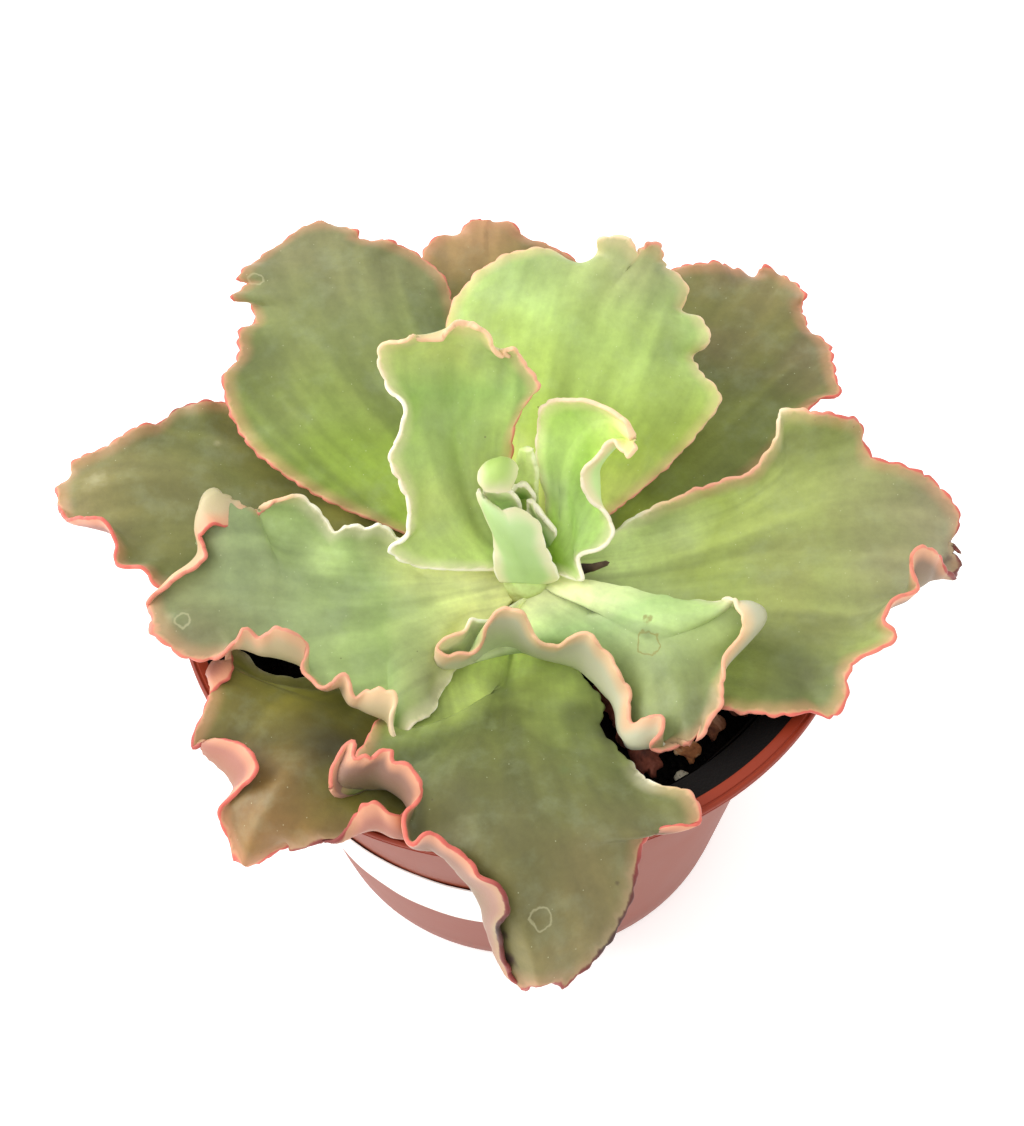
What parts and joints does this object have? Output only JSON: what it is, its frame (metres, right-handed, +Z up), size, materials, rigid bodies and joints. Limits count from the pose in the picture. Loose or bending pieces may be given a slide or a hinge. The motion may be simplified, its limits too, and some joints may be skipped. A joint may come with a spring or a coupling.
{
  "type": "potted giant ruffles echeveria",
  "caption": "Succulent rosette of broad fleshy leaves with waved and ruffled pink-edged margins, on a short stem in a tapered round plastic nursery pot filled with dark soil.",
  "frame": {"origin": "centre of the pot's underside, where it rests", "axes": "+Z up along the pot's axis, -Y towards the front of the pot with its label, +X to the right"},
  "size_m": [0.1993, 0.1906, 0.1543],
  "materials": {
    "pot_plastic": "satin",
    "label_paper": "matte",
    "soil": "matte",
    "stem": "matte",
    "granule": "matte",
    "leaf_old": "satin",
    "leaf_mid": "satin",
    "leaf_young": "satin",
    "withered": "matte"
  },
  "bodies": {
    "root": {"pot": "pot_plastic", "pot_label": "label_paper", "soil": "soil", "stem": "stem", "granule": "granule", "leaf_right": "leaf_mid", "leaf_front_right": "leaf_mid", "leaf_left": "leaf_mid", "leaf_front": "leaf_mid", "leaf_left_low": "leaf_old", "leaf_front_left": "leaf_old", "leaf_back_left": "leaf_old", "leaf_back": "leaf_old", "leaf_back_right": "leaf_old", "leaf_upper_back": "leaf_young", "leaf_upper_left": "leaf_young", "leaf_upper_right": "leaf_young", "leaf_inner_front": "leaf_young", "bud_back": "leaf_young", "bud_left": "leaf_young", "bud_right": "leaf_young", "withered_leaf_1": "withered", "withered_leaf_2": "withered", "withered_leaf_3": "withered", "withered_leaf_4": "withered"}
  },
  "joints": []
}
